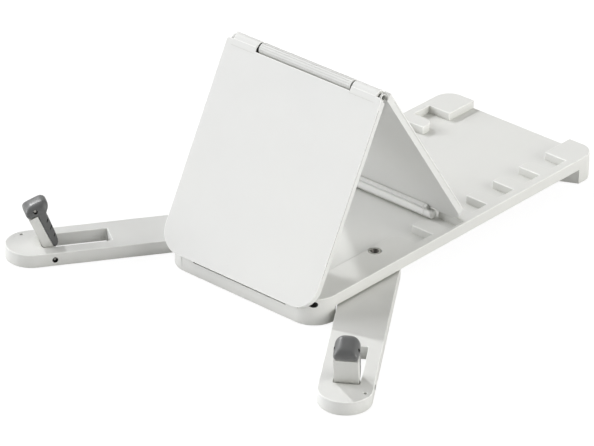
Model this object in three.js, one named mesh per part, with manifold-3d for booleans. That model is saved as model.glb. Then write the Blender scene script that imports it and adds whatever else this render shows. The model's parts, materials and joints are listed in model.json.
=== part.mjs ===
// Portable drawing board: folding ABS desk easel with two swing-out arms.
// Frame: millimetres, +X right, +Y away from the user, +Z up.
// Origin: centre of the footprint with both arms swung out, on the plane the
// rubber feet stand on. Base dimensions along Y are given from its near end;
// the whole group is then shifted to the origin.
import * as THREE from 'three';
import { mergeVertices } from 'three/addons/utils/BufferGeometryUtils.js';
import Module from 'manifold-3d';

const wasm = await Module();
wasm.setup();

const SIDES = [['left', -1], ['right', 1]];

// ---- driving dimensions ----------------------------------------------------
// Base
const BASE_HALF = 85;
const BASE_L = 377.3;          // near end to far end
const NEAR_CORNER_R = 22.6;    // plan radii of the corners
const FAR_CORNER_R = 16;
const UNDER_Z = 14.6;          // underside of the tray, above the arm layer
const FLOOR_Z = 18.0;          // floor between the rails
const RAIL_Z = 25.5;           // top of rails, pads and lugs
const SOLE_Z = 0.6;            // moulded sole; the rubber stands 0.6 lower
// Hinges
const HINGE_Y = 5.5;           // lower hinge axis
const HINGE_Z = 20.4;
const APEX_Y = 180.7;          // apex axis from the lower axis, closed
const APEX_Z = 5.8;
const PIN_R = 1.9;
const BORE_R = 2.2;
const KNUCKLE_R = 5.5;
const KNUCKLE_INNER = 51.5;    // front panel knuckles, span in X
const KNUCKLE_OUTER = 77.9;
// Panels
const FRONT_TILT = 63.2;       // deg, front panel above the horizontal
const REAR_FOLD = 118.2;       // deg, rear panel folded back from straight
const PANEL_HALF = 84.3;
const PANEL_T = 6.8;
const PANEL_IN = 5.35;         // inner face above the lower hinge axis, closed
const REAR_LEN = 193;          // apex axis to the lower end of the rear panel
const REAR_IN = PANEL_IN - APEX_Z; // inner face in the rear panel's frame
// Foot bar on the rear panel
const FOOT_Y = 194.5;          // axis, in the rear panel's frame
const FOOT_Z = -4.1;
const FOOT_R = 4.3;
const FOOT_HALF = 53.4;        // free end of the nubs
const FLANGE_HALF = 47.8;      // end of the flange above them
const BAR_HALF = 44.5;
// Arms
const ARM_X = 60.5;            // pivot
const ARM_Y = 102.8;
const ARM_OPEN = 33.7;         // deg from straight ahead
const ARM_L = 205.2;           // pivot to centre of the round tip
const ARM_R = 22.4;
const ARM_TOP = 13.0;
const BOLT_BORE_R = 3.4;       // pivot bore through tray, washer and arm
const FINGER_Y = 189.5;        // finger pivot along the arm
const FINGER_Z = 6.4;
const FINGER_LEAN = 23.7;      // deg outward from upright
const FINGER_HALF = 10.1;
const GRIP_HALF = 10.6;

// ---- helpers ---------------------------------------------------------------
// Ranges are [min, max] pairs along the axis they are named for.
const rad = THREE.MathUtils.degToRad;
const QUARTER = Math.PI / 2;

const across = (half) => [-half, half];

// X range from an inner to an outer distance, on one side of the middle
const onSide = (side, inner, outer) => (side > 0 ? [inner, outer] : [-outer, -inner]);

const join = (first, ...rest) => rest.reduce((body, part) => body.add(part), first);
const cut = (body, ...tools) => tools.reduce((left, tool) => left.subtract(tool), body);

function toSolid(geometry) {
  geometry.deleteAttribute('normal');
  geometry.deleteAttribute('uv');
  const merged = mergeVertices(geometry, 1e-4);
  return new wasm.Manifold(new wasm.Mesh({
    numProp: 3,
    vertProperties: new Float32Array(merged.getAttribute('position').array),
    triVerts: new Uint32Array(merged.index.array),
  }));
}

function toGeometry(solid) {
  const mesh = solid.getMesh();
  const geometry = new THREE.BufferGeometry();
  const positions = new Float32Array(mesh.vertProperties);
  geometry.setAttribute('position', new THREE.BufferAttribute(positions, 3));
  geometry.setIndex(new THREE.BufferAttribute(new Uint32Array(mesh.triVerts), 1));
  geometry.computeVertexNormals();
  return geometry;
}

function box([xMin, xMax], [yMin, yMax], [zMin, zMax]) {
  const geometry = new THREE.BoxGeometry(xMax - xMin, yMax - yMin, zMax - zMin);
  geometry.translate((xMin + xMax) / 2, (yMin + yMax) / 2, (zMin + zMax) / 2);
  return toSolid(geometry);
}

const extrude = (outline, depth, curveSegments) => new THREE.ExtrudeGeometry(
  outline, { depth, bevelEnabled: false, curveSegments });

function prismZ(outline, [zMin, zMax], segments = 8) {
  const geometry = extrude(outline, zMax - zMin, segments);
  geometry.translate(0, 0, zMin);
  return toSolid(geometry);
}

// outline drawn in (y, z), swept along x
function prismX(outline, [xMin, xMax], segments = 8) {
  const geometry = extrude(outline, xMax - xMin, segments);
  geometry.applyMatrix4(new THREE.Matrix4().makeBasis(
    new THREE.Vector3(0, 1, 0), new THREE.Vector3(0, 0, 1), new THREE.Vector3(1, 0, 0)));
  geometry.translate(xMin, 0, 0);
  return toSolid(geometry);
}

function cylinderZ([x, y], radius, [zMin, zMax], segments = 28, topRadius = radius) {
  const geometry = new THREE.CylinderGeometry(topRadius, radius, zMax - zMin, segments);
  geometry.rotateX(QUARTER);
  geometry.translate(x, y, (zMin + zMax) / 2);
  return toSolid(geometry);
}

function cylinderX([y, z], radius, [xMin, xMax], segments = 24) {
  const geometry = new THREE.CylinderGeometry(radius, radius, xMax - xMin, segments);
  geometry.rotateZ(-QUARTER);
  geometry.translate((xMin + xMax) / 2, y, z);
  return toSolid(geometry);
}

// rounded rectangle centred on x = 0; the near corners are those at yMin
function roundedRect(half, [yMin, yMax], nearR, farR = nearR) {
  const shape = new THREE.Shape();
  shape.moveTo(-half + nearR, yMin);
  shape.lineTo(half - nearR, yMin);
  shape.absarc(half - nearR, yMin + nearR, nearR, -QUARTER, 0, false);
  shape.lineTo(half, yMax - farR);
  shape.absarc(half - farR, yMax - farR, farR, 0, QUARTER, false);
  shape.lineTo(-half + farR, yMax);
  shape.absarc(-half + farR, yMax - farR, farR, QUARTER, Math.PI, false);
  shape.lineTo(-half, yMin + nearR);
  shape.absarc(-half + nearR, yMin + nearR, nearR, Math.PI, 3 * QUARTER, false);
  return shape;
}

const polygon = (points) => new THREE.Shape(points.map(([x, y]) => new THREE.Vector2(x, y)));

function hexagon([x, y], radius) {
  const points = [];
  for (let i = 0; i < 6; i++) {
    const angle = i * Math.PI / 3;
    points.push([x + radius * Math.cos(angle), y + radius * Math.sin(angle)]);
  }
  return polygon(points);
}

// [name, [x, y]] at both ends and sides, from the right-hand place at each end
const fourPlaces = (near, far) => [['near', near], ['far', far]].flatMap(
  ([end, [x, y]]) => SIDES.map(([name, side]) => [`${end}_${name}`, [side * x, y]]));

// ---- materials -------------------------------------------------------------
const abs = () => new THREE.MeshStandardMaterial({
  color: 0xe6e6e4, roughness: 0.5, metalness: 0.0 });
const rubber = () => new THREE.MeshStandardMaterial({
  color: 0x77787a, roughness: 0.75, metalness: 0.0 });
const steel = () => new THREE.MeshStandardMaterial({
  color: 0x9a9a98, roughness: 0.35, metalness: 1.0 });
const nylon = () => new THREE.MeshStandardMaterial({
  color: 0xd6d6d0, roughness: 0.6, metalness: 0.0 });

// ---- base tray -------------------------------------------------------------
const BELOW_TRAY = [-1, 20];   // range past both ends of anything under the tray
const ABOVE_RAILS = 30;        // upper end of cuts open at the top
const CLEAR_X = 95;            // past the sides of base and panels
const FUSE_Z = [SOLE_Z, UNDER_Z + 0.5]; // parts under the tray, sunk 0.5 into it
const LUG_X = 54.1;            // inner edge of the lugs
const LUG_R = 9;               // far inner corner radius of each lug
const NOTCH_X = 77;            // outer end of the notches
const GROOVE_X = 82;           // outer end of the knuckle groove
// near edge y, far edge y, outer end x
const NOTCHES = [
  [138, 158.8, NOTCH_X], [176.2, 194.7, GROOVE_X], [210.9, 232.1, NOTCH_X],
  [247.4, 268.6, NOTCH_X], [283.6, 304.9, NOTCH_X], [320.4, 342, NOTCH_X],
];
const NEAR_FOOT = [66, 15.5];  // right-hand rubber feet, x and y
const FAR_FOOT = [69, 361];
const RUBBER_FEET = fourPlaces(NEAR_FOOT, FAR_FOOT);
const COVER_SCREWS = fourPlaces([40, 60], [40, 300]);

const pivotAt = (side) => [side * ARM_X, ARM_Y];

const baseOutline = () => roundedRect(BASE_HALF, [0, BASE_L], NEAR_CORNER_R, FAR_CORNER_R);

// floor well and notches as one comb-shaped opening, right edge then left edge
function wellOutline() {
  const right = [[LUG_X, 14]];
  for (const [nearY, farY, outerX] of NOTCHES) {
    for (let i = 0; i <= 5; i++) {
      const angle = Math.PI - (i / 5) * QUARTER;
      right.push([
        LUG_X + LUG_R + LUG_R * Math.cos(angle),
        nearY - LUG_R + LUG_R * Math.sin(angle),
      ]);
    }
    right.push([outerX, nearY], [outerX, farY], [LUG_X, farY]);
  }
  right.push([LUG_X, BASE_L + 2]);
  const left = right.map(([x, y]) => [-x, y]).reverse();
  return polygon([...right, ...left]);
}

// what is cut away outside the near edge round, in (y, z)
function nearRoundOutline() {
  const radius = 5.05;
  const shape = new THREE.Shape();
  shape.moveTo(-2, HINGE_Z);
  shape.lineTo(HINGE_Y - radius, HINGE_Z);
  shape.absarc(HINGE_Y, HINGE_Z, radius, Math.PI, QUARTER, true);
  shape.lineTo(HINGE_Y, ABOVE_RAILS);
  shape.lineTo(-2, ABOVE_RAILS);
  return shape;
}

// wall round the near end, down to the sole; its ends are mitred to run along
// the edges of the open arms
function nearSkirt() {
  const wall = 3;
  const inside = roundedRect(
    BASE_HALF - wall, [wall, BASE_L], NEAR_CORNER_R - wall, FAR_CORNER_R);
  const beyondMitres = polygon([
    [-100, 400], [-100, 1.6], [-83.1, 26.9], [83.1, 26.9], [100, 1.6], [100, 400],
  ]);
  return cut(
    prismZ(baseOutline(), FUSE_Z, 10),
    prismZ(inside, BELOW_TRAY, 10),
    prismZ(beyondMitres, BELOW_TRAY));
}

// foot under a far end pad, near face raked
function farFoot(side) {
  const outline = [[56, 338], [90, 355.6], [90, 385], [56, 385]].map(([x, y]) => [side * x, y]);
  return prismZ(polygon(outline), FUSE_Z).intersect(prismZ(baseOutline(), BELOW_TRAY, 10));
}

// boss for the rubber foot inside a near corner, cut flat on its far side
function nearBoss(side) {
  const [x, y] = NEAR_FOOT;
  return cut(cylinderZ([side * x, y], 9.5, FUSE_Z), box(across(90), [23.6, 60], BELOW_TRAY));
}

// plate let into the underside, holed for the pivot columns and screw posts
function coverPlate(gap, holeGap, zRange) {
  const outline = roundedRect(BASE_HALF - 2.8 - gap, [27 + gap, 334 - gap], 4 - gap);
  const through = [13, 18];
  return cut(
    prismZ(outline, zRange, 4),
    ...SIDES.map(([, side]) => cylinderZ(pivotAt(side), 9 + holeGap, through)),
    ...COVER_SCREWS.map(([, place]) => cylinderZ(place, 4 + holeGap, through, 16)));
}

function trayCutsOnSide(side) {
  const hinge = [HINGE_Y, HINGE_Z];
  const pivot = pivotAt(side);
  return [
    // slot for the front panel's lower ear
    box(onSide(side, 52, 64), [-2, 11.2], [15.2, ABOVE_RAILS]),
    // hinge pin bore, wider at the outer end
    cylinderX(hinge, BORE_R, onSide(side, 47.5, CLEAR_X)),
    cylinderX(hinge, 2.7, onSide(side, 72.4, CLEAR_X), 28),
    // hollow under the near pad, with a column left round the arm pivot
    cut(
      box(onSide(side, 56.8, 82.2), [25, 134.5], [UNDER_Z - 0.2, 23]),
      cylinderZ(pivot, 9, [UNDER_Z - 1, 24])),
    // pivot bolt bore and counterbore
    cylinderZ(pivot, BOLT_BORE_R, [UNDER_Z - 1, ABOVE_RAILS]),
    cylinderZ(pivot, 6.1, [23.6, ABOVE_RAILS]),
  ];
}

function baseTray() {
  const body = join(
    prismZ(baseOutline(), [UNDER_Z, RAIL_Z], 10),
    nearSkirt(),
    ...SIDES.map(([, side]) => farFoot(side)),
    ...SIDES.map(([, side]) => nearBoss(side)));
  return cut(
    body,
    prismZ(wellOutline(), [FLOOR_Z, ABOVE_RAILS]),
    prismX(nearRoundOutline(), across(CLEAR_X), 8),
    // shallow setback of the near wall behind the panel's lower edge
    box(across(51.5), [-2, 3.6], [12.7, ABOVE_RAILS]),
    ...SIDES.flatMap(([, side]) => trayCutsOnSide(side)),
    // seats for the rubber feet, pilot holes for the cover screws, cover seat
    ...RUBBER_FEET.map(([, place]) => cylinderZ(place, 6.8, [-1, 2.2])),
    ...COVER_SCREWS.map(([, place]) => cylinderZ(place, 1.3, [14, 17.2], 16)),
    coverPlate(0, 0, [UNDER_Z - 0.3, 16.5]));
}

const bottomCover = () => coverPlate(0.3, 0.4, [UNDER_Z, 16.2]);

// shank, round head below it, hexagon socket
function coverScrew(place) {
  return cut(
    join(cylinderZ(place, 0.95, [14.2, 16.9], 14), cylinderZ(place, 3.6, [13.4, 14.3], 20)),
    prismZ(hexagon(place, 1.1), [13, 13.95]));
}

function rubberFoot(place) {
  return join(
    cylinderZ(place, 6.0, [0, 0.5], 24, 6.4),
    cylinderZ(place, 6.4, [0.5, 1.9], 24));
}

// ---- arm pivots, lower hinge pins ------------------------------------------
// bolt with a flared mouth and a hollow upper part
function pivotBolt(side) {
  const place = pivotAt(side);
  return cut(
    join(
      cylinderZ(place, 3.0, [1.4, 24.0], 24),
      cylinderZ(place, 5.75, [23.9, 24.9]),
      cylinderZ(place, 5.75, [24.9, 25.4], 28, 5.2)),
    cylinderZ(place, 2.2, [17.5, 26], 24),
    cylinderZ(place, 2.2, [23.2, 25.6], 28, 4.0));
}

function pivotWasher(side) {
  const place = pivotAt(side);
  return cut(cylinderZ(place, 8.6, [13.25, 14.3]), cylinderZ(place, BOLT_BORE_R, [13, 15]));
}

function pivotNut(side) {
  const place = pivotAt(side);
  return cut(prismZ(hexagon(place, 6.0), [1.2, 4.3]), cylinderZ(place, 3.3, [0, 5]));
}

// pin with a thinner outer tip
function lowerHingePin(side) {
  const axis = [HINGE_Y, HINGE_Z];
  return join(
    cylinderX(axis, PIN_R, onSide(side, 48, 73.4)),
    cylinderX(axis, 1.2, onSide(side, 73.3, 75.2), 20));
}

// ---- front panel: frame on the lower hinge axis, +Y up the panel -----------
const APEX = [APEX_Y, APEX_Z];

function frontOutline() {
  const bottom = -6.65;
  const top = 180.0;
  const recess = 176.6;        // upper edge between the knuckles
  const bottomR = 21;
  const topR = 2.5;
  const shape = new THREE.Shape();
  shape.moveTo(-PANEL_HALF + bottomR, bottom);
  shape.lineTo(PANEL_HALF - bottomR, bottom);
  shape.absarc(PANEL_HALF - bottomR, bottom + bottomR, bottomR, -QUARTER, 0, false);
  shape.lineTo(PANEL_HALF, top - topR);
  shape.absarc(PANEL_HALF - topR, top - topR, topR, 0, QUARTER, false);
  shape.lineTo(KNUCKLE_OUTER + 0.2, top);
  shape.lineTo(KNUCKLE_OUTER, APEX_Y);
  shape.lineTo(KNUCKLE_INNER, APEX_Y);
  shape.lineTo(KNUCKLE_INNER, recess);
  shape.lineTo(-KNUCKLE_INNER, recess);
  shape.lineTo(-KNUCKLE_INNER, APEX_Y);
  shape.lineTo(-KNUCKLE_OUTER, APEX_Y);
  shape.lineTo(-KNUCKLE_OUTER - 0.2, top);
  shape.lineTo(-PANEL_HALF + topR, top);
  shape.absarc(-PANEL_HALF + topR, top - topR, topR, QUARTER, Math.PI, false);
  shape.lineTo(-PANEL_HALF, bottom + bottomR);
  shape.absarc(
    -PANEL_HALF + bottomR, bottom + bottomR, bottomR, Math.PI, 3 * QUARTER, false);
  return shape;
}

function frontPanel() {
  const earR = 4.6;
  let panel = prismZ(frontOutline(), [PANEL_IN, PANEL_IN + PANEL_T], 10);
  for (const [, side] of SIDES) {
    const earX = onSide(side, 53, 63);
    // clearance for the rear panel's ears beyond the knuckles
    panel = cut(panel, cylinderX(APEX, 3.9, onSide(side, KNUCKLE_OUTER, CLEAR_X), 24));
    // knuckle, then the lower ear reaching down to the hinge axis
    panel = join(
      panel,
      cylinderX(APEX, KNUCKLE_R, onSide(side, KNUCKLE_INNER, KNUCKLE_OUTER), 32),
      box(earX, across(earR), [0, PANEL_IN + 0.3]),
      cylinderX([0, 0], earR, earX, 24));
    panel = cut(panel, cylinderX([0, 0], BORE_R, onSide(side, 50, 66), 20));
  }
  return cut(
    panel,
    // clearance for the rear panel's barrel
    cylinderX(APEX, 6.5, across(KNUCKLE_INNER), 32),
    cylinderX(APEX, BORE_R, across(CLEAR_X), 20));
}

// ---- rear panel: frame on the apex axis, +Y towards the lower end ----------
const KNUCKLE_GAP_X = KNUCKLE_OUTER + 0.5; // outer end of the knuckle clearance
const FOOT = [FOOT_Y, FOOT_Z];

function rearOutline() {
  const start = 0.7;           // upper edge beyond the knuckles
  const innerStart = 2.4;      // upper edge between them
  const startR = 2;
  const endR = 17;
  const shape = new THREE.Shape();
  shape.moveTo(-PANEL_HALF, start + startR);
  shape.absarc(-PANEL_HALF + startR, start + startR, startR, Math.PI, 3 * QUARTER, false);
  shape.lineTo(-KNUCKLE_GAP_X, start);
  shape.lineTo(-KNUCKLE_GAP_X, innerStart);
  shape.lineTo(KNUCKLE_GAP_X, innerStart);
  shape.lineTo(KNUCKLE_GAP_X, start);
  shape.lineTo(PANEL_HALF - startR, start);
  shape.absarc(PANEL_HALF - startR, start + startR, startR, -QUARTER, 0, false);
  shape.lineTo(PANEL_HALF, REAR_LEN - endR);
  shape.absarc(PANEL_HALF - endR, REAR_LEN - endR, endR, 0, QUARTER, false);
  shape.lineTo(-PANEL_HALF + endR, REAR_LEN);
  shape.absarc(-PANEL_HALF + endR, REAR_LEN - endR, endR, QUARTER, Math.PI, false);
  return shape;
}

function rearPanel() {
  const axis = [0, 0];
  let panel = prismZ(rearOutline(), [REAR_IN, REAR_IN + PANEL_T], 10);
  for (const [, side] of SIDES) {
    // clearance round the front knuckle and the pin end, then the ear
    panel = cut(
      panel,
      cylinderX(axis, 5.9, onSide(side, KNUCKLE_INNER - 0.6, KNUCKLE_GAP_X), 32),
      cylinderX(axis, 2.6, onSide(side, KNUCKLE_OUTER, CLEAR_X), 20));
    panel = join(panel, cylinderX(axis, 3.4, onSide(side, 79.6, 81.4), 24));
  }
  // barrel between the front knuckles
  panel = join(panel, cylinderX(axis, KNUCKLE_R, across(KNUCKLE_INNER - 1.6), 32));
  return cut(
    panel,
    cylinderX(axis, BORE_R, across(81.5), 20),
    // seat for the foot bar across the lower edge, wider round the nubs
    cylinderX(FOOT, FOOT_R + 0.3, across(FOOT_HALF + 0.4), 28),
    ...SIDES.map(([, side]) => cylinderX(
      FOOT, FOOT_R + 1.2, onSide(side, FLANGE_HALF + 0.3, FOOT_HALF + 0.9), 28)));
}

const footFlange = (xRange) => box(xRange, [185.6, FOOT_Y], [FOOT_Z, REAR_IN - 0.3]);

// round nose on a flange under the lower edge
function footBar() {
  return join(cylinderX(FOOT, FOOT_R, across(BAR_HALF), 28), footFlange(across(BAR_HALF)));
}

// end of the bar: the flange stops short, the nub runs on to a rounded end
function footBarCap(side) {
  const inner = BAR_HALF + 0.3;
  const length = FOOT_HALF - inner;
  const edgeR = 2.2;
  const profile = [[0, 0], [FOOT_R, 0], [FOOT_R, length - edgeR]];
  for (let i = 1; i <= 5; i++) {
    const angle = (i / 5) * QUARTER;
    profile.push([
      FOOT_R - edgeR + edgeR * Math.cos(angle),
      length - edgeR + edgeR * Math.sin(angle),
    ]);
  }
  profile.push([0, length]);
  const nub = new THREE.LatheGeometry(profile.map(([x, y]) => new THREE.Vector2(x, y)), 28);
  nub.rotateZ(-side * QUARTER);
  nub.translate(side * inner, FOOT_Y, FOOT_Z);
  return join(toSolid(nub), footFlange(onSide(side, inner, FLANGE_HALF)));
}

// ---- arms: frame on the pivot, the arm running along -Y --------------------
const FINGER_AXIS = [-FINGER_Y, FINGER_Z];
const ARM_PAD = [0, -214];

function armBody(side) {
  const outline = new THREE.Shape();
  outline.moveTo(ARM_R, -ARM_L);
  outline.lineTo(ARM_R, 0);
  outline.absarc(0, 0, ARM_R, 0, Math.PI, false);
  outline.lineTo(-ARM_R, -ARM_L);
  outline.absarc(0, -ARM_L, ARM_R, Math.PI, 2 * Math.PI, false);
  const through = [-1, 15];
  const rightArm = cut(
    prismZ(outline, [SOLE_Z, ARM_TOP], 14),
    // finger slot
    prismZ(roundedRect(11, [-197.7, -137.5], 1.5), through, 3),
    // pivot bore and nut recess
    cylinderZ([0, 0], BOLT_BORE_R, through, 24),
    cylinderZ([0, 0], 7.2, [-1, 4.6]),
    // finger pin bore, wider at both ends
    cylinderX(FINGER_AXIS, BORE_R, across(30), 20),
    ...SIDES.map(([, end]) => cylinderX(FINGER_AXIS, 2.55, onSide(end, ARM_R - 4.2, 30), 28)),
    // small blind hole in the top near the tip
    cylinderZ([16.6, -210.4], 1.4, [6.5, 15], 18),
    // rubber pad seat
    cylinderZ(ARM_PAD, 8.8, [-1, 1.7]));
  return side > 0 ? rightArm : rightArm.mirror([1, 0, 0]);
}

const armPad = () => cylinderZ(ARM_PAD, 8.4, [0, 1.4]);

function fingerPin() {
  return join(
    cylinderX(FINGER_AXIS, PIN_R, across(18.6), 20),
    cylinderX(FINGER_AXIS, 1.15, across(20.9), 20));
}

// ---- fingers: frame on the finger axis, +Z up the lever, +Y to the arm pivot
const GRIP_PIN = [3.6, 43];
const NECK_HALF = 4.5;

const gripPinHole = () => cylinderX(GRIP_PIN, 1.7, across(20), 18);
const gripPin = () => cylinderX(GRIP_PIN, 1.4, across(8.9), 18);

// lever with a narrow neck inside the grip's head
function finger() {
  return cut(
    join(
      box(across(FINGER_HALF), [-4.5, 3.5], [0, 38]),
      cylinderX([0, 0], 5.2, across(FINGER_HALF), 28),
      box(across(NECK_HALF), [-1.2, 3.5], [37.5, 45.6]),
      box(across(NECK_HALF), [-1.2, 7.2], [39.6, 45.6])),
    cylinderX([0, 0], BORE_R, across(20), 20),
    gripPinHole());
}

// grip side profile (y, z): spine with a rounded foot, then the hooked head
const GRIP_PROFILE = [
  [3.9, 4.8], [5.6, 4.5], [7.4, 5.2], [8.9, 7.0], [9.8, 9.6], [10.3, 14], [10.6, 18],
  [10.9, 24], [11.0, 30], [10.8, 34], [11.0, 36.6], [12.4, 38.4], [14.6, 40.0],
  [16.1, 41.8], [16.6, 43.6], [16.4, 45.4], [15.5, 46.9], [13.9, 47.8], [11.6, 48.2],
  [0.8, 48.2], [-1.6, 47.6], [-3.6, 46.2], [-4.9, 44.3], [-5.4, 42.2], [-5.3, 40.4],
  [-4.8, 39.0], [-4.4, 38.4], [3.9, 38.4],
];
const GRIP_GROOVES_Z = [13.5, 21.2, 28.7];

// long prism with two rounded upper edges, its top leaning from +Z towards +Y;
// springHeight is where the rounding starts
function archPrism({ half, springHeight, radius, leanDeg, segments }) {
  const bottom = -60;
  const length = 160;
  const shape = new THREE.Shape();
  shape.moveTo(-half, bottom);
  shape.lineTo(half, bottom);
  shape.lineTo(half, springHeight);
  shape.absarc(half - radius, springHeight, radius, 0, QUARTER, false);
  shape.absarc(-half + radius, springHeight, radius, QUARTER, Math.PI, false);
  shape.lineTo(-half, bottom);
  const geometry = extrude(shape, length, segments);
  geometry.translate(0, 0, -length / 2);
  geometry.rotateX(rad(90 - leanDeg));
  return toSolid(geometry);
}

function fingerGrip() {
  const arch = archPrism({
    half: GRIP_HALF, springHeight: 40.8, radius: 7.4, leanDeg: 0, segments: 12 });
  const dome = archPrism({
    half: GRIP_HALF + 0.2, springHeight: 31.5, radius: 9.6, leanDeg: 52.5, segments: 14 });
  // head rounded in plan, spine narrowed to the lever
  const planLimit = join(
    prismZ(roundedRect(GRIP_HALF, [-5.6, 16.7], 3.4, 5.6), [37.6, 60], 8),
    prismZ(roundedRect(FINGER_HALF, [-6, 18], 1), [0, 37.7], 4));
  const body = prismX(polygon(GRIP_PROFILE), across(GRIP_HALF))
    .intersect(arch)
    .intersect(dome)
    .intersect(planLimit);
  return cut(
    body,
    // socket for the lever's neck
    box(across(NECK_HALF + 0.4), [-1.6, 7.6], [37, 46.0]),
    gripPinHole(),
    ...GRIP_GROOVES_Z.map((z) => prismX(
      polygon([[8.1, z], [12.5, z + 4.6], [12.5, z + 6.1], [8.1, z + 1.2]]), across(20))));
}

// ---- assembly --------------------------------------------------------------
function addMesh(parent, name, solid, material) {
  const mesh = new THREE.Mesh(toGeometry(solid), material);
  mesh.name = name;
  parent.add(mesh);
}

function addGroup(parent, position, tiltX = 0, turnZ = 0) {
  const group = new THREE.Group();
  group.position.set(...position);
  group.rotation.set(rad(tiltX), 0, rad(turnZ));
  parent.add(group);
  return group;
}

const root = new THREE.Group();
const armTipY = ARM_Y - ARM_L * Math.cos(rad(ARM_OPEN)) - ARM_R; // nearest point, arms open
root.position.set(0, -(BASE_L + armTipY) / 2, 0);

addMesh(root, 'base_tray', baseTray(), abs());
addMesh(root, 'base_bottom_cover', bottomCover(), abs());
for (const [name, place] of COVER_SCREWS) {
  addMesh(root, `cover_screw_${name}`, coverScrew(place), steel());
}
for (const [name, place] of RUBBER_FEET) {
  addMesh(root, `rubber_foot_${name}`, rubberFoot(place), rubber());
}
for (const [name, side] of SIDES) {
  addMesh(root, `arm_pivot_bolt_${name}`, pivotBolt(side), steel());
  addMesh(root, `arm_pivot_washer_${name}`, pivotWasher(side), nylon());
  addMesh(root, `arm_pivot_nut_${name}`, pivotNut(side), steel());
  addMesh(root, `lower_hinge_pin_${name}`, lowerHingePin(side), steel());
}

const front = addGroup(root, [0, HINGE_Y, HINGE_Z], FRONT_TILT);
addMesh(front, 'front_panel', frontPanel(), abs());
addMesh(front, 'top_hinge_pin', cylinderX(APEX, PIN_R, across(79.9), 20), steel());

const rear = addGroup(front, [0, APEX_Y, APEX_Z], -REAR_FOLD);
addMesh(rear, 'rear_panel', rearPanel(), abs());
addMesh(rear, 'rear_foot_bar', footBar(), abs());
for (const [name, side] of SIDES) {
  addMesh(rear, `foot_bar_cap_${name}`, footBarCap(side), abs());
}

for (const [name, side] of SIDES) {
  const arm = addGroup(root, [...pivotAt(side), 0], 0, side * ARM_OPEN);
  addMesh(arm, `arm_${name}`, armBody(side), abs());
  addMesh(arm, `arm_pad_${name}`, armPad(), rubber());
  addMesh(arm, `finger_pivot_pin_${name}`, fingerPin(), steel());

  const lever = addGroup(arm, [0, ...FINGER_AXIS], FINGER_LEAN);
  addMesh(lever, `finger_${name}`, finger(), abs());
  addMesh(lever, `finger_grip_${name}`, fingerGrip(), rubber());
  addMesh(lever, `grip_pin_${name}`, gripPin(), steel());
}

export default root;
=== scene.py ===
"""Folding tent-shaped stand on a base tray, with two swinging arms that carry gripping fingers.

+X is the right side and -Y the front, where the arms reach; +Z is up and the floor lies at z = 0.
The CAD pieces are copied, cleaned, rounded and shaded. Sizes are in mm unless a name says
otherwise, and are turned into metres with MM.
"""

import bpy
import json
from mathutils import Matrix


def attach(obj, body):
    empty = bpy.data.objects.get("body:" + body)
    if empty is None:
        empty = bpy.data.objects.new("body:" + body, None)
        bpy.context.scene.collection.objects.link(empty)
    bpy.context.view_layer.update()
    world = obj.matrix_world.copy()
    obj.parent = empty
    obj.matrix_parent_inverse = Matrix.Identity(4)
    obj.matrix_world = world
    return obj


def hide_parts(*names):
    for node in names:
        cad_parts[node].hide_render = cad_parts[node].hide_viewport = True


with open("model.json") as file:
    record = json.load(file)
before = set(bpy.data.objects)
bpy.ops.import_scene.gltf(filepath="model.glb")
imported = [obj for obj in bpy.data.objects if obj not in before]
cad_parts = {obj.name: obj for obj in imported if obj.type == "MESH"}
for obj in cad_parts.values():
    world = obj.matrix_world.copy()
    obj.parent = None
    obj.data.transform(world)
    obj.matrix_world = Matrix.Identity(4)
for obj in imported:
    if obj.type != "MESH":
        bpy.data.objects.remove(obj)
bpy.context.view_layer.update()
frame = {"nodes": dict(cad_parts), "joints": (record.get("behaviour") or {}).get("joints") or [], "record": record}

import json
import math
from collections import namedtuple

import bmesh
import bpy
from mathutils import Matrix, Vector

MM = 0.001
scene = bpy.context.scene
NODES = frame["nodes"]
BODY_OF = {n: b for b, ns in frame["record"]["behaviour"]["bodies"].items() for n in ns}
JOINT_AT = {j["name"]: j["pos_m"] for j in frame["joints"]}

# ------------------------------------------------------------------ frames of the moving parts
TILT = math.radians(63.2)    # front panel above the floor
FOLD = math.radians(118.2)   # rear panel against the front panel
SWING = math.radians(33.7)   # each arm away from straight ahead
LEAN = math.radians(23.7)    # finger about its own pivot
FINGER_PIVOT = (0, -189.5 * MM, 6.4 * MM)   # in the arm frame, metres
GRIP_PIN_Y, GRIP_PIN_Z = 3.6, 43.0          # grip pin axis in the finger frame

SIDES = {"left": -1, "right": 1}
HINGE_POINT = Vector(JOINT_AT["front_panel_tilt"])
HINGE = Matrix.Translation(HINGE_POINT)
APEX = Matrix.Translation(Vector(JOINT_AT["rear_panel_fold"]))
FRONT = HINGE @ Matrix.Rotation(TILT, 4, "X")
REAR = APEX @ Matrix.Rotation(TILT - FOLD, 4, "X")


def arm_frame(side):
    pivot = Vector(JOINT_AT[f"arm_{side}_swing"])
    turn = Matrix.Rotation(SIDES[side] * SWING, 4, "Z")
    return Matrix.Translation((pivot.x, pivot.y, 0)) @ turn


ARM = {side: arm_frame(side) for side in SIDES}
FINGER = {side: arm @ Matrix.Translation(FINGER_PIVOT) @ Matrix.Rotation(LEAN, 4, "X")
          for side, arm in ARM.items()}

# ------------------------------------------------------------------ round zones
# A cylinder about one axis of a frame: radius, and its reach from low to high along the axis.
Zone = namedtuple("Zone", "frame axis radius low high")


def mirror(low, high):
    """A span on the +X side and its mirror image."""
    return (low, high), (-high, -low)


def both_ends(matrix, radius, low, high):
    """Zones about the x axis of a frame, one at each end."""
    return [Zone(matrix, "X", radius, *span) for span in mirror(low, high)]


def along_and_off(inverse, axis, point):
    """Splits a point into its place along the axis and its offset from the axis."""
    off = inverse @ point / MM
    index = "XYZ".index(axis)
    along = off[index]
    off[index] = 0.0
    return along, off


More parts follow.
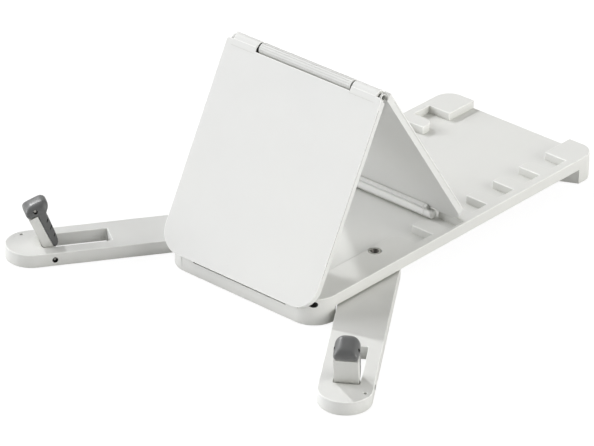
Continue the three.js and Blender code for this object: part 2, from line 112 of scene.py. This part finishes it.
# ------------------------------------------------------------------ mesh helpers
WELD = 6e-6                          # metres
SHORTEST_EDGE = 4e-6                 # metres
FLAT_ANGLE = math.radians(0.6)       # faces closer than this are merged
ROUND_ANGLE = math.radians(28)       # edges harder than this are rounded
SHARP_ANGLE = math.radians(42)       # edges harder than this stay crisp in shading
# DARK faces get near-black paint that stands for the shade in holes and gaps
ROUNDED, DARK = 1, 2                 # face marks, kept as material indices


def link(name, data):
    ob = bpy.data.objects.new(name, data)
    scene.collection.objects.link(ob)
    return ob


def from_bm(name, bm, matrix):
    bm.transform(matrix)
    bmesh.ops.recalc_face_normals(bm, faces=bm.faces[:])
    mesh = bpy.data.meshes.new(name)
    bm.to_mesh(mesh)
    bm.free()
    return link(name, mesh)


def clean(mesh):
    """Welds doubles and merges coplanar faces."""
    bm = bmesh.new()
    bm.from_mesh(mesh)
    bmesh.ops.remove_doubles(bm, verts=bm.verts[:], dist=WELD)
    bmesh.ops.dissolve_degenerate(bm, edges=bm.edges[:], dist=SHORTEST_EDGE)
    bmesh.ops.dissolve_limit(bm, angle_limit=FLAT_ANGLE, verts=bm.verts[:], edges=bm.edges[:],
                             use_dissolve_boundaries=False, delimit=set())
    bmesh.ops.recalc_face_normals(bm, faces=bm.faces[:])
    bm.to_mesh(mesh)
    bm.free()
    mesh.update()


def copy_of(name, node):
    mesh = NODES[node].data.copy()
    mesh.name = name
    mesh.materials.clear()
    clean(mesh)
    return link(name, mesh)


def bake(ob):
    """Applies the modifiers."""
    bpy.context.view_layer.update()
    depsgraph = bpy.context.evaluated_depsgraph_get()
    mesh = bpy.data.meshes.new_from_object(ob.evaluated_get(depsgraph),
                                           preserve_all_data_layers=True, depsgraph=depsgraph)
    old = ob.data
    ob.modifiers.clear()
    ob.data = mesh
    if old.users == 0:
        bpy.data.meshes.remove(old)


def cut(ob, tools):
    """Subtracts the tools from the object and deletes them."""
    for tool in tools:
        boolean = ob.modifiers.new("cut", "BOOLEAN")
        boolean.operation = "DIFFERENCE"
        boolean.solver = "EXACT"
        boolean.object = tool
    bake(ob)
    for tool in tools:
        mesh = tool.data
        bpy.data.objects.remove(tool)
        bpy.data.meshes.remove(mesh)
    clean(ob.data)


def weigh_edges(ob, spared):
    """Bevel weights: 1 on hard outer edges, 0 on inner corners and inside the spared zones."""
    bm = bmesh.new()
    bm.from_mesh(ob.data)
    layers = bm.edges.layers.float
    weight = layers.get("bevel_weight_edge") or layers.new("bevel_weight_edge")
    tests = [(zone, zone.frame.inverted()) for zone in spared]

    def is_spared(vert):
        for zone, inverse in tests:
            along, off = along_and_off(inverse, zone.axis, vert.co)
            if off.length <= zone.radius and zone.low <= along <= zone.high:
                return True
        return False

    for e in bm.edges:
        hard = len(e.link_faces) == 2 and e.calc_face_angle_signed(0.0) > ROUND_ANGLE
        e[weight] = 1.0 if hard and not all(is_spared(v) for v in e.verts) else 0.0
    bm.to_mesh(ob.data)
    bm.free()


def round_edges(ob, width, segments, clamp=True, spared=()):
    """Rounds every hard edge outside the spared zones and marks the new faces."""
    for face in ob.data.polygons:
        face.use_smooth = True
        face.material_index = 0
    for _ in range(3):
        ob.data.materials.append(None)
    bevel = ob.modifiers.new("round", "BEVEL")
    bevel.material = ROUNDED
    bevel.width = width * MM
    bevel.segments = segments
    bevel.limit_method = "ANGLE"
    bevel.angle_limit = ROUND_ANGLE
    if spared:
        weigh_edges(ob, spared)
        bevel.limit_method = "WEIGHT"
    bevel.use_clamp_overlap = clamp
    bevel.miter_outer = "MITER_ARC"
    bevel.harden_normals = False
    bake(ob)


def shade(ob):
    """Broad faces stay flat, rounds run smooth, crisp cuts stay crisp."""
    bm = bmesh.new()
    bm.from_mesh(ob.data)
    for face in bm.faces:
        face.smooth = True
    for e in bm.edges:
        e.smooth = not (len(e.link_faces) == 2 and e.calc_face_angle(0.0) > SHARP_ANGLE)
    bm.to_mesh(ob.data)
    bm.free()
    normals = ob.modifiers.new("normals", "WEIGHTED_NORMAL")
    normals.mode = "FACE_AREA_WITH_ANGLE"
    normals.weight = 80
    normals.keep_sharp = True
    bake(ob)


def darken(ob, zones, walls_only=True):
    """Marks the faces in the zones for near-black paint, which stands for the shade in holes and gaps; walls_only
    leaves out faces that look away from the axis.
    """
    for zone in zones:
        inverse = zone.frame.inverted()
        turn = inverse.to_3x3()
        for face in ob.data.polygons:
            along, off = along_and_off(inverse, zone.axis, face.center)
            outward = (turn @ face.normal).dot(off)
            looks_in = outward < 1e-4 * off.length or off.length < 0.2
            inside = zone.low <= along <= zone.high and off.length <= zone.radius
            if inside and (looks_in or not walls_only):
                face.material_index = DARK


def tag_rims(ob):
    """Face value "rim": 1 on rounds of outer edges, -1 on rounds of inner corners, else 0."""
    bm = bmesh.new()
    bm.from_mesh(ob.data)
    rim = bm.faces.layers.float.new("rim")
    for face in bm.faces:
        if face.material_index == ROUNDED:
            bend = sum(e.calc_length() * e.calc_face_angle_signed(0.0)
                       for e in face.edges if len(e.link_faces) == 2)
            face[rim] = 1.0 if bend >= 0 else -1.0
    bm.to_mesh(ob.data)
    bm.free()


def block(x_span, y_span, z_span, matrix):
    """Box cutter between the given spans."""
    spans = (x_span, y_span, z_span)
    centre = [(low + high) / 2 * MM for low, high in spans]
    size = [(high - low) * MM for low, high in spans]
    bm = bmesh.new()
    bmesh.ops.create_cube(bm, size=1.0)
    bm.transform(Matrix.Translation(centre) @ Matrix.Diagonal((*size, 1)))
    return from_bm("cutter", bm, matrix)


def prism(profile, x0, x1, matrix):
    """Cutter with a closed (y, z) profile, swept along x."""
    bm = bmesh.new()
    start, end = [[bm.verts.new((x * MM, y * MM, z * MM)) for y, z in profile] for x in (x0, x1)]
    bm.faces.new(start)
    bm.faces.new(end[::-1])
    for i in range(len(profile)):
        k = (i + 1) % len(profile)
        bm.faces.new((start[i], start[k], end[k], end[i]))
    return from_bm("cutter", bm, matrix)


# ------------------------------------------------------------------ materials
def tint(tone, *factors, cap=1.0):
    """The tone times one factor, or one factor per channel."""
    if len(factors) == 1:
        factors *= 3
    return tuple(min(cap, channel * factor) for channel, factor in zip(tone, factors))


class Net:
    """A node material with a Principled shader, and helpers that wire it."""

    def __init__(self, name):
        self.mat = bpy.data.materials.new(name)
        self.mat.use_nodes = True
        self.tree = self.mat.node_tree
        self.tree.nodes.clear()
        self.out = self.add("ShaderNodeOutputMaterial")
        self.shader = self.add("ShaderNodeBsdfPrincipled")
        self.feed(self.out.inputs["Surface"], self.shader.outputs["BSDF"])
        self.coords = self.add("ShaderNodeTexCoord").outputs["Object"]

    def add(self, kind, **props):
        node = self.tree.nodes.new(kind)
        for key, value in props.items():
            setattr(node, key, value)
        return node

    def feed(self, socket, value):
        """Sets a number or an RGB colour, or links an output."""
        if isinstance(value, (int, float)):
            socket.default_value = value
        elif isinstance(value, tuple):
            socket.default_value = (*value, 1.0)
        else:
            self.tree.links.new(value, socket)

    def set(self, name, value):
        self.feed(self.shader.inputs[name], value)

    def noise(self, scale, detail=3.0, roughness=0.55, stretch=None, distortion=0.0):
        node = self.add("ShaderNodeTexNoise")
        node.inputs["Scale"].default_value = scale
        node.inputs["Detail"].default_value = detail
        node.inputs["Roughness"].default_value = roughness
        node.inputs["Distortion"].default_value = distortion
        place_at = self.coords
        if stretch:
            mapping = self.add("ShaderNodeMapping")
            mapping.inputs["Scale"].default_value = stretch
            self.feed(mapping.inputs["Vector"], self.coords)
            place_at = mapping.outputs["Vector"]
        self.feed(node.inputs["Vector"], place_at)
        return node.outputs["Fac"]

    def remap(self, value, span, to=(0.0, 1.0)):
        node = self.add("ShaderNodeMapRange", clamp=True)
        for key, number in zip(("From Min", "From Max", "To Min", "To Max"), (*span, *to)):
            node.inputs[key].default_value = number
        self.feed(node.inputs["Value"], value)
        return node.outputs["Result"]

    def math(self, operation, first, second):
        node = self.add("ShaderNodeMath", operation=operation)
        self.feed(node.inputs[0], first)
        self.feed(node.inputs[1], second)
        return node.outputs[0]

    def plus(self, value, extra):
        return self.math("ADD", value, extra)

    def times(self, value, factor):
        return self.math("MULTIPLY", value, factor)

    def mix(self, factor, a, b):
        node = self.add("ShaderNodeMix", data_type="RGBA", blend_type="MIX")
        for index, value in ((0, factor), (6, a), (7, b)):
            self.feed(node.inputs[index], value)
        return node.outputs[2]

    def edges(self, radius):
        """0 on flats, 1 on tight outer and inner edges."""
        bevel = self.add("ShaderNodeBevel", samples=4)
        bevel.inputs["Radius"].default_value = radius
        geometry = self.add("ShaderNodeNewGeometry")
        dot = self.add("ShaderNodeVectorMath", operation="DOT_PRODUCT")
        self.feed(dot.inputs[0], bevel.outputs[0])
        self.feed(dot.inputs[1], geometry.outputs["Normal"])
        return self.remap(dot.outputs["Value"], span=(0.995, 0.86))

    def cavity(self, distance):
        """Low in tight gaps, 1 in the open."""
        node = self.add("ShaderNodeAmbientOcclusion", samples=4, only_local=False)
        node.inputs["Distance"].default_value = distance
        return node.outputs["AO"]

    def bump(self, height, strength, distance, over=None):
        node = self.add("ShaderNodeBump")
        node.inputs["Strength"].default_value = strength
        node.inputs["Distance"].default_value = distance
        self.feed(node.inputs["Height"], height)
        if over is not None:
            self.feed(node.inputs["Normal"], over)
        return node.outputs["Normal"]


def abs_plastic(name, tone, roughness, grain, glint=0.95):
    """Moulded plastic: flow marks and specks, a painted highlight on outer rims and painted shade in inner corners
    and tight gaps.
    """
    net = Net(name)
    drift = net.noise(scale=7.0, roughness=0.5)
    col = net.mix(net.remap(drift, span=(0.3, 0.7)),
                  tint(tone, 0.985, 0.985, 0.99), tint(tone, 1.012, 1.012, 1.005))
    flow = net.noise(scale=26.0, detail=4.0, roughness=0.6, stretch=(1.0, 0.22, 1.0),
                     distortion=0.8)
    col = net.mix(net.remap(flow, span=(0.52, 0.8), to=(0.0, 0.22)), col,
                  tint(tone, 0.955, 0.957, 0.955))
    speck = net.noise(scale=620.0, detail=2.0, roughness=0.5)
    col = net.mix(net.remap(speck, span=(0.735, 0.79), to=(0.0, 0.28)), col,
                  tint(tone, 0.72, 0.72, 0.7))
    # Outer rims: a painted highlight, lightened in patches; the same mask also lowers roughness there.
    rim = net.add("ShaderNodeAttribute", attribute_name="rim").outputs["Fac"]
    rim_patches = net.remap(net.noise(scale=95.0, detail=4.0, roughness=0.65),
                     span=(0.34, 0.6), to=(0.62, 1.0))
    pale_rims = net.times(net.remap(rim, span=(0.0, 1.0)), rim_patches)
    col = net.mix(net.times(pale_rims, glint), col, tint(tone, 1.21, cap=0.97))
    # Inner corners: painted shade along their rounds.
    col = net.mix(net.remap(rim, span=(-1.0, 0.0), to=(0.5, 0.0)), col,
                  tint(tone, 0.66, 0.66, 0.62))
    # Tight gaps: painted shade from the cavity mask.
    col = net.mix(net.remap(net.cavity(distance=0.009), span=(0.25, 0.85), to=(0.7, 0.0)), col,
                  tint(tone, 0.70, 0.705, 0.665))
    net.set("Base Color", col)
    gloss = net.remap(net.noise(scale=48.0, detail=4.0, roughness=0.6),
                      span=(0.3, 0.7), to=(roughness - 0.05, roughness + 0.06))
    gloss = net.plus(gloss, net.remap(speck, span=(0.45, 0.75), to=(0.0, 0.08)))
    gloss = net.plus(gloss, net.times(pale_rims, factor=-0.08))
    net.set("Roughness", gloss)
    net.set("IOR", 1.52)
    net.set("Specular IOR Level", 0.42)
    fine = net.bump(net.noise(scale=2300.0, roughness=0.6), strength=grain, distance=0.00006)
    net.set("Normal", net.bump(net.noise(scale=17.0, detail=2.0, roughness=0.5),
                               strength=0.10, distance=0.0005, over=fine))
    return net.mat


def soft_rubber(name, tone, roughness, grain):
    """Dusty dark rubber, paler on its worn edges."""
    net = Net(name)
    col = net.mix(net.remap(net.noise(scale=60.0, detail=4.0, roughness=0.6), span=(0.3, 0.7)),
                  tint(tone, 0.9, 0.9, 0.91), tint(tone, 1.1))
    dust = net.noise(scale=1400.0, detail=2.0, roughness=0.6)
    col = net.mix(net.remap(dust, span=(0.62, 0.78), to=(0.0, 0.35)), col,
                  tint(tone, 1.7, 1.7, 1.68))
    pale_rims = net.times(net.edges(radius=0.0012),
                     net.remap(net.noise(scale=260.0, detail=4.0, roughness=0.65),
                               span=(0.35, 0.65), to=(0.2, 1.0)))
    col = net.mix(net.times(pale_rims, factor=0.6), col, tint(tone, 1.65))
    # Tight gaps: painted shade from the cavity mask.
    col = net.mix(net.remap(net.cavity(distance=0.006), span=(0.1, 0.7), to=(0.6, 0.0)), col,
                  tint(tone, 0.45))
    net.set("Base Color", col)
    gloss = net.remap(net.noise(scale=170.0, roughness=0.6),
                      span=(0.3, 0.7), to=(roughness - 0.06, roughness + 0.08))
    net.set("Roughness", net.plus(gloss, net.times(pale_rims, factor=-0.07)))
    net.set("Specular IOR Level", 0.7)
    net.set("Sheen Weight", 0.26)
    net.set("Sheen Roughness", 0.5)
    fine = net.bump(net.noise(scale=1700.0, roughness=0.65), strength=grain, distance=0.00012)
    net.set("Normal", net.bump(net.noise(scale=130.0, detail=2.0, roughness=0.5),
                               strength=0.12, distance=0.0003, over=fine))
    return net.mat


def plain_steel(name, tone, roughness, stretch):
    """Streaked steel with dull spots; stretch is low along the streaks."""
    net = Net(name)
    streak = net.noise(scale=900.0, roughness=0.6, stretch=stretch)
    col = net.mix(net.remap(streak, span=(0.3, 0.7)),
                  tint(tone, 0.82), tint(tone, 1.12, 1.12, 1.1))
    spot = net.noise(scale=230.0, detail=4.0, roughness=0.7)
    col = net.mix(net.remap(spot, span=(0.6, 0.72), to=(0.0, 0.5)), col,
                  tint(tone, 0.55, 0.53, 0.5))
    # Tight recesses: painted shade, near-black from the cavity mask.
    recess_shade = (0.03, 0.028, 0.025)
    col = net.mix(net.remap(net.cavity(distance=0.003), span=(0.1, 0.8), to=(0.85, 0.0)), col,
                  recess_shade)
    net.set("Base Color", col)
    net.set("Metallic", 1.0)
    gloss = net.remap(streak, span=(0.3, 0.7), to=(roughness - 0.07, roughness + 0.1))
    net.set("Roughness", net.plus(gloss, net.remap(spot, span=(0.55, 0.75), to=(0.0, 0.18))))
    net.set("Normal", net.bump(streak, strength=0.25, distance=0.00004))
    return net.mat


def nylon(name, tone):
    net = Net(name)
    net.set("Base Color", net.mix(net.remap(net.noise(scale=120.0, roughness=0.6),
                                            span=(0.3, 0.7)),
                                  tint(tone, 0.9, 0.9, 0.86), tint(tone, 1.05, 1.05, 1.03)))
    net.set("Roughness", net.remap(net.noise(scale=300.0, roughness=0.6),
                                   span=(0.3, 0.7), to=(0.38, 0.55)))
    net.set("Subsurface Weight", 0.15)
    net.shader.inputs["Subsurface Radius"].default_value = (0.0012, 0.001, 0.0009)
    net.set("Subsurface Scale", 1.0)
    net.set("Normal", net.bump(net.noise(scale=1500.0, detail=2.0, roughness=0.5),
                               strength=0.15, distance=0.00005))
    return net.mat


ALONG_X = (0.05, 1.0, 1.0)
ALONG_Z = (1.0, 1.0, 0.1)
M_BASE = abs_plastic("abs_base", (0.80, 0.80, 0.786), roughness=0.44, grain=0.16)
M_PANEL = abs_plastic("abs_panel", (0.805, 0.806, 0.797), roughness=0.46, grain=0.2)
M_ARM = abs_plastic("abs_arm", (0.785, 0.786, 0.774), roughness=0.42, grain=0.14)
M_LEVER = abs_plastic("abs_lever", (0.72, 0.72, 0.705), roughness=0.38, grain=0.1)
M_UNDER = abs_plastic("abs_underside", (0.72, 0.72, 0.71), roughness=0.55, grain=0.34)
M_GRIP = soft_rubber("rubber_grip", (0.098, 0.1, 0.101), roughness=0.37, grain=0.3)
M_FEET = soft_rubber("rubber_feet", (0.06, 0.06, 0.062), roughness=0.72, grain=0.5)
M_PIN = plain_steel("steel_pin", (0.50, 0.49, 0.47), roughness=0.32, stretch=ALONG_X)
M_BOLT = plain_steel("steel_bolt", (0.52, 0.51, 0.485), roughness=0.26, stretch=ALONG_Z)
# Dark steel for the bolt's hollow: painted shade inside the bore.
M_BORE_SHADE = plain_steel("steel_bore_shade", (0.085, 0.08, 0.074), roughness=0.3, stretch=ALONG_Z)
# Near-black paint for holes, slits and gaps: painted shade, not a different material.
M_SHADE_PAINT = abs_plastic("painted_hole_shade", (0.022, 0.022, 0.021), roughness=0.6, grain=0.1, glint=0.0)
M_NYLON = nylon("nylon_washer", (0.62, 0.61, 0.56))


def place(ob, material, node, hole=M_SHADE_PAINT):
    tag_rims(ob)
    # Faces marked DARK take the hole material, near-black paint that stands for shade.
    marks = [int(face.material_index == DARK) for face in ob.data.polygons]
    ob.data.materials.clear()
    ob.data.materials.append(material)
    if any(marks):
        ob.data.materials.append(hole)
    for face, mark in zip(ob.data.polygons, marks):
        face.material_index = mark
    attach(ob, BODY_OF[node])
    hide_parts(node)


def add_part(name, node, material, width, segments, dark=(), hole=M_SHADE_PAINT, clamp=True, spared=()):
    """Copies a CAD piece, rounds and shades it, paints its holes near-black as painted shade and places it."""
    ob = copy_of(name, node)
    round_edges(ob, width, segments, clamp, spared)
    shade(ob)
    darken(ob, dark)
    place(ob, material, node, hole)


# ------------------------------------------------------------------ base
def pivot_zone(side):
    return Zone(ARM[side], "Z", radius=7.5, low=-5, high=40)


def column_zone(sign):
    """Thin zone that runs front to back through the tray."""
    matrix = Matrix.Translation((sign * 54.1 * MM, HINGE_POINT.y, 25.5 * MM))
    return Zone(matrix, "Y", radius=2.2, low=-20, high=118)


def mark_skirt_ends(tray):
    """Paints the end walls of the skirt near-black, as painted shade in the narrow gaps beside the open arms."""
    top = 0.0135                     # metres
    back = HINGE_POINT.y + 0.12      # metres
    facing = 0.985                   # least cosine between the wall's normal and the arm's side
    for face in tray.data.polygons:
        sign = 1 if face.center.x > 0 else -1
        along = face.normal.x * sign * math.cos(SWING) + face.normal.y * math.sin(SWING)
        if along > facing and face.center.z < top and face.center.y < back:
            face.material_index = DARK


def build_tray():
    tray = copy_of("tray_shell", "base_tray")
    round_edges(tray, width=0.75, segments=2, clamp=False,
                spared=[pivot_zone(side) for side in SIDES]
                + [column_zone(sign) for sign in SIDES.values()]
                + [Zone(HINGE, "X", radius=15.0, low=-53, high=53)]
                + both_ends(HINGE, radius=3.4, low=70, high=90))
    shade(tray)
    # Painted shade: near-black in the lower hinge pin holes and on the skirt end walls.
    darken(tray, both_ends(HINGE, radius=2.85, low=72.2, high=86.0))
    mark_skirt_ends(tray)
    place(tray, M_BASE, "base_tray")


build_tray()
add_part("tray_cover", "base_bottom_cover", M_UNDER, width=0.35, segments=2)
for corner in ("near_left", "near_right", "far_left", "far_right"):
    add_part("screw_" + corner, "cover_screw_" + corner, M_BOLT, width=0.25, segments=2)
    add_part("foot_" + corner, "rubber_foot_" + corner, M_FEET, width=0.35, segments=3)
for side in SIDES:
    # Painted shade: the bolt's hollow takes the dark steel.
    bore = Zone(ARM[side], "Z", radius=4.15, low=12.0, high=25.35)
    add_part("pivot_bolt_piece_" + side, "arm_pivot_bolt_" + side, M_BOLT, width=0.3, segments=3,
             dark=[bore], hole=M_BORE_SHADE)
    add_part("pivot_nut_piece_" + side, "arm_pivot_nut_" + side, M_BOLT, width=0.3, segments=3)
    add_part("pivot_washer_piece_" + side, "arm_pivot_washer_" + side, M_NYLON,
             width=0.25, segments=3)
    add_part("lower_hinge_pin_piece_" + side, "lower_hinge_pin_" + side, M_PIN,
             width=0.35, segments=3)

# ------------------------------------------------------------------ tent panels
GROOVE_X = (83.95, 86.0)             # from the groove floor to clear of the board
GROOVE_WIDTH = 0.23
FRONT_GROOVE_Z, REAR_GROOVE_Z = 10.45, 4.65
STEP = dict(x=(51.9, 77.6), y=(174.6, 175.0), z=(11.85, 13.0))
FLUTE = [(-0.42, 6.2), (-0.3, 5.08), (0.3, 5.08), (0.42, 6.2)]   # (y, z) before turning
FLUTE_END = 48.6
FLUTE_ANGLES = range(78, -55, -22)   # degrees


def groove_cutter(x_span, y_span, z, matrix):
    """Cutter for the fine parting groove in a side edge of a board."""
    return block(x_span, y_span, (z, z + GROOVE_WIDTH), matrix)


def mark_groove(board):
    """Paints the small faces in the parting grooves of the front board near-black, as painted shade that draws
    each groove as a dark line.
    """
    inverse = FRONT.inverted()
    for face in board.data.polygons:
        x, y, z = inverse @ face.center / MM
        in_box = 83.8 < abs(x) < 84.28 and 8 < y < 176 and 10.4 < z < 10.75
        if in_box and face.area < 60e-6:
            face.material_index = DARK


def build_front_panel():
    board = copy_of("front_board", "front_panel")
    round_edges(board, width=0.7, segments=2, clamp=False,
                spared=[Zone(HINGE, "X", radius=12.0, low=-53, high=53)])
    tools = []
    for groove_x, step_x in zip(mirror(*GROOVE_X), mirror(*STEP["x"])):
        tools.append(groove_cutter(groove_x, (24, 170), FRONT_GROOVE_Z, FRONT))
        # step between the knuckle and the board
        tools.append(block(step_x, STEP["y"], STEP["z"], FRONT))
    cut(board, tools)
    shade(board)
    mark_groove(board)
    # Painted shade: near-black in the gaps at the knuckle ends.
    darken(board, both_ends(APEX, radius=7.6, low=50.9, high=52.1))
    place(board, M_PANEL, "front_panel")


def build_rear_panel():
    board = copy_of("rear_board", "rear_panel")
    round_edges(board, width=0.7, segments=2, clamp=False,
                spared=[Zone(APEX, "X", radius=2.6, low=-80, high=80)]
                + both_ends(APEX, radius=9.5, low=78, high=90))
    # lengthwise flutes on the middle knuckle
    tools = [prism(FLUTE, -FLUTE_END, FLUTE_END,
                   APEX @ Matrix.Rotation(math.radians(angle), 4, "X"))
             for angle in FLUTE_ANGLES]
    tools += [groove_cutter(x_span, (12, 174), REAR_GROOVE_Z, REAR)
              for x_span in mirror(*GROOVE_X)]
    cut(board, tools)
    shade(board)
    place(board, M_PANEL, "rear_panel")


def build_top_pin():
    pin = copy_of("top_pin_piece", "top_hinge_pin")
    round_edges(pin, width=0.4, segments=3)
    shade(pin)
    # Painted shade: the pin's end faces go near-black, so they read as holes.
    darken(pin, both_ends(APEX, radius=3.0, low=79.3, high=81.0), walls_only=False)
    place(pin, M_PIN, "top_hinge_pin")


build_front_panel()
build_rear_panel()
build_top_pin()
add_part("foot_bar", "rear_foot_bar", M_PANEL, width=0.6, segments=3)
for side in SIDES:
    add_part("foot_bar_end_" + side, "foot_bar_cap_" + side, M_PANEL, width=0.4, segments=2)

# ------------------------------------------------------------------ arms and fingers
GRIP_VOXEL = 0.36
GRIP_RELAX, HEAD_RELAX = 3, 240      # smoothing passes: all over, then on the head
SLIT_FOOT_Y, SLIT_SLOPE = 8.1, 1.07
SLIT_Z = (13.5, 21.2, 28.7)


def in_grip_head(point):
    """Outer skin of the grip head, clear of its socket and its pin hole (finger frame)."""
    x, y, z = point
    socket = abs(x) < 5.3 and -2.0 < y < 8.0 and z < 46.3
    hole = math.hypot(y - GRIP_PIN_Y, z - GRIP_PIN_Z) < 2.1
    return z > 35.5 and not socket and not hole


def in_slit(point):
    """One of the three slanting slits across the back of the spine (finger frame)."""
    level = point.z - (point.y - SLIT_FOOT_Y) * SLIT_SLOPE
    return 7.9 < point.y and any(z - 0.1 < level < z + 1.35 for z in SLIT_Z)


def relax(ob, name, passes, group=""):
    smooth = ob.modifiers.new(name, "SMOOTH")
    smooth.factor = 0.5
    smooth.iterations = passes
    smooth.vertex_group = group
    bake(ob)


def mould(grip, inverse):
    """Re-skins the grip with an even mesh and relaxes it, strongly on the head."""
    low = [min(v.co[i] for v in grip.data.vertices) for i in range(3)]
    high = [max(v.co[i] for v in grip.data.vertices) for i in range(3)]
    skin = grip.modifiers.new("skin", "REMESH")
    skin.mode = "VOXEL"
    skin.voxel_size = GRIP_VOXEL * MM
    skin.use_smooth_shade = True
    relax(grip, "relax", GRIP_RELAX)
    head = grip.vertex_groups.new(name="head")
    head.add([v.index for v in grip.data.vertices if in_grip_head(inverse @ v.co / MM)],
             1.0, "REPLACE")
    relax(grip, "relax_head", HEAD_RELAX, group="head")
    grip.vertex_groups.clear()
    # keep the skin within the box of the CAD piece
    for v in grip.data.vertices:
        for i in range(3):
            v.co[i] = min(max(v.co[i], low[i]), high[i])
    for face in grip.data.polygons:
        face.use_smooth = True


def build_grip(side):
    grip = copy_of("finger_rubber_" + side, "finger_grip_" + side)
    inverse = FINGER[side].inverted()
    mould(grip, inverse)
    # Painted shade: the slit faces go near-black.
    for face in grip.data.polygons:
        if in_slit(inverse @ face.center / MM):
            face.material_index = DARK
    pin = FINGER[side] @ Matrix.Translation((0, GRIP_PIN_Y * MM, GRIP_PIN_Z * MM))
    # Painted shade in the pin mouths.
    darken(grip, both_ends(pin, radius=1.95, low=8.4, high=11.0))
    place(grip, M_GRIP, "finger_grip_" + side)


for side in SIDES:
    # The arm's dark zones are painted shade in the finger pin mouths.
    add_part("arm_shell_" + side, "arm_" + side, M_ARM, width=0.75, segments=2, clamp=False,
             spared=both_ends(FINGER[side], radius=3.3, low=17, high=24) + [pivot_zone(side)],
             dark=both_ends(FINGER[side], radius=2.75, low=18.1, high=22.9))
    add_part("arm_foot_" + side, "arm_pad_" + side, M_FEET, width=0.4, segments=3)
    add_part("finger_pin_" + side, "finger_pivot_pin_" + side, M_PIN, width=0.35, segments=3)
    add_part("finger_lever_" + side, "finger_" + side, M_LEVER, width=0.9, segments=4)
    build_grip(side)
    add_part("grip_pin_piece_" + side, "grip_pin_" + side, M_PIN, width=0.3, segments=2)


# ------------------------------------------------------------------ floor, light, camera
def floor_paper():
    """Matt paper that glows for the camera only."""
    net = Net("floor_paper")
    net.set("Base Color", net.mix(net.noise(scale=3.0, detail=2.0),
                                  (0.80, 0.80, 0.80), (0.82, 0.82, 0.82)))
    net.set("Roughness", 0.9)
    net.set("Specular IOR Level", 0.1)
    glow = net.add("ShaderNodeEmission")
    glow.inputs["Strength"].default_value = 1.17
    path = net.add("ShaderNodeLightPath")
    veil = net.add("ShaderNodeMixShader")
    net.feed(veil.inputs[0], net.times(path.outputs["Is Camera Ray"], factor=0.78))
    net.feed(veil.inputs[1], net.shader.outputs["BSDF"])
    net.feed(veil.inputs[2], glow.outputs["Emission"])
    net.feed(net.out.inputs["Surface"], veil.outputs["Shader"])
    return net.mat


def build_floor():
    paper = floor_paper()
    bm = bmesh.new()
    bmesh.ops.create_grid(bm, x_segments=4, y_segments=4, size=6.0)
    floor = from_bm("floor", bm, Matrix.Translation((0, 0, -0.2 * MM)))
    floor.data.materials.append(paper)


def build_world():
    """Dim for diffuse light, brighter in reflections, white to the camera."""
    world = bpy.data.worlds.new("studio")
    scene.world = world
    world.use_nodes = True
    nodes, links = world.node_tree.nodes, world.node_tree.links
    nodes.clear()
    out = nodes.new("ShaderNodeOutputWorld")
    path = nodes.new("ShaderNodeLightPath")

    def backdrop(strength, color=(1, 1, 1)):
        node = nodes.new("ShaderNodeBackground")
        node.inputs["Color"].default_value = (*color, 1)
        node.inputs["Strength"].default_value = strength
        return node.outputs[0]

    reflected = nodes.new("ShaderNodeMixShader")
    links.new(path.outputs["Is Glossy Ray"], reflected.inputs[0])
    links.new(backdrop(strength=0.26, color=(1.0, 0.997, 0.95)), reflected.inputs[1])
    links.new(backdrop(strength=0.5), reflected.inputs[2])
    seen = nodes.new("ShaderNodeMixShader")
    links.new(path.outputs["Is Camera Ray"], seen.inputs[0])
    links.new(reflected.outputs[0], seen.inputs[1])
    links.new(backdrop(strength=1.1), seen.inputs[2])
    links.new(seen.outputs[0], out.inputs["Surface"])


# name, azimuth from +X towards +Y, elevation, spread (all degrees), energy, colour
SUNS = (
    ("key", 171.4, 42.3, 3, 1.25, (0.99, 0.995, 1.0)),
    ("left_low", -150, 20, 40, 2.0, (0.985, 0.992, 1.0)),
    ("front_low", -108, 15, 40, 0.3, (0.99, 0.995, 1.0)),
    ("right_mid", 15, 25, 50, 0.78, (1.0, 0.998, 0.97)),
    ("right_low", 15, 8, 50, 0.95, (1.0, 0.998, 0.965)),
    ("back_right", 40, 25, 50, 0.45, (1.0, 0.998, 0.97)),
)
SUN_DISTANCE = 3                     # metres


def add_sun(name, azimuth, elevation, spread, energy, color):
    """Large far light aimed at the origin."""
    light = bpy.data.lights.new(name, "SUN")
    light.energy = energy
    light.angle = math.radians(spread)
    light.color = color
    ob = link(name, light)
    a, e = math.radians(azimuth), math.radians(elevation)
    ob.location = (SUN_DISTANCE * math.cos(a) * math.cos(e),
                   SUN_DISTANCE * math.sin(a) * math.cos(e), SUN_DISTANCE * math.sin(e))
    ob.rotation_mode = "QUATERNION"
    ob.rotation_quaternion = (-ob.location).to_track_quat("-Z", "Y")


def add_camera():
    camera = bpy.data.cameras.new("camera")
    camera.sensor_width = 36.0
    camera.lens = 248.851333
    camera.clip_start = 0.05
    camera.clip_end = 40
    ob = link("camera", camera)
    right = (0.75319005, 0.65747109, 0.02089295)
    up = (-0.32924071, 0.34929626, 0.87726432)
    backward = (0.56947809, -0.66762557, 0.47955271)
    position = (1.963672, -2.373092, 1.694995)   # metres
    ob.matrix_world = Matrix((*zip(right, up, backward, position), (0, 0, 0, 1)))
    scene.camera = ob


build_floor()
build_world()
for sun in SUNS:
    add_sun(*sun)
add_camera()
scene.view_settings.view_transform = "Standard"
scene.view_settings.look = "None"
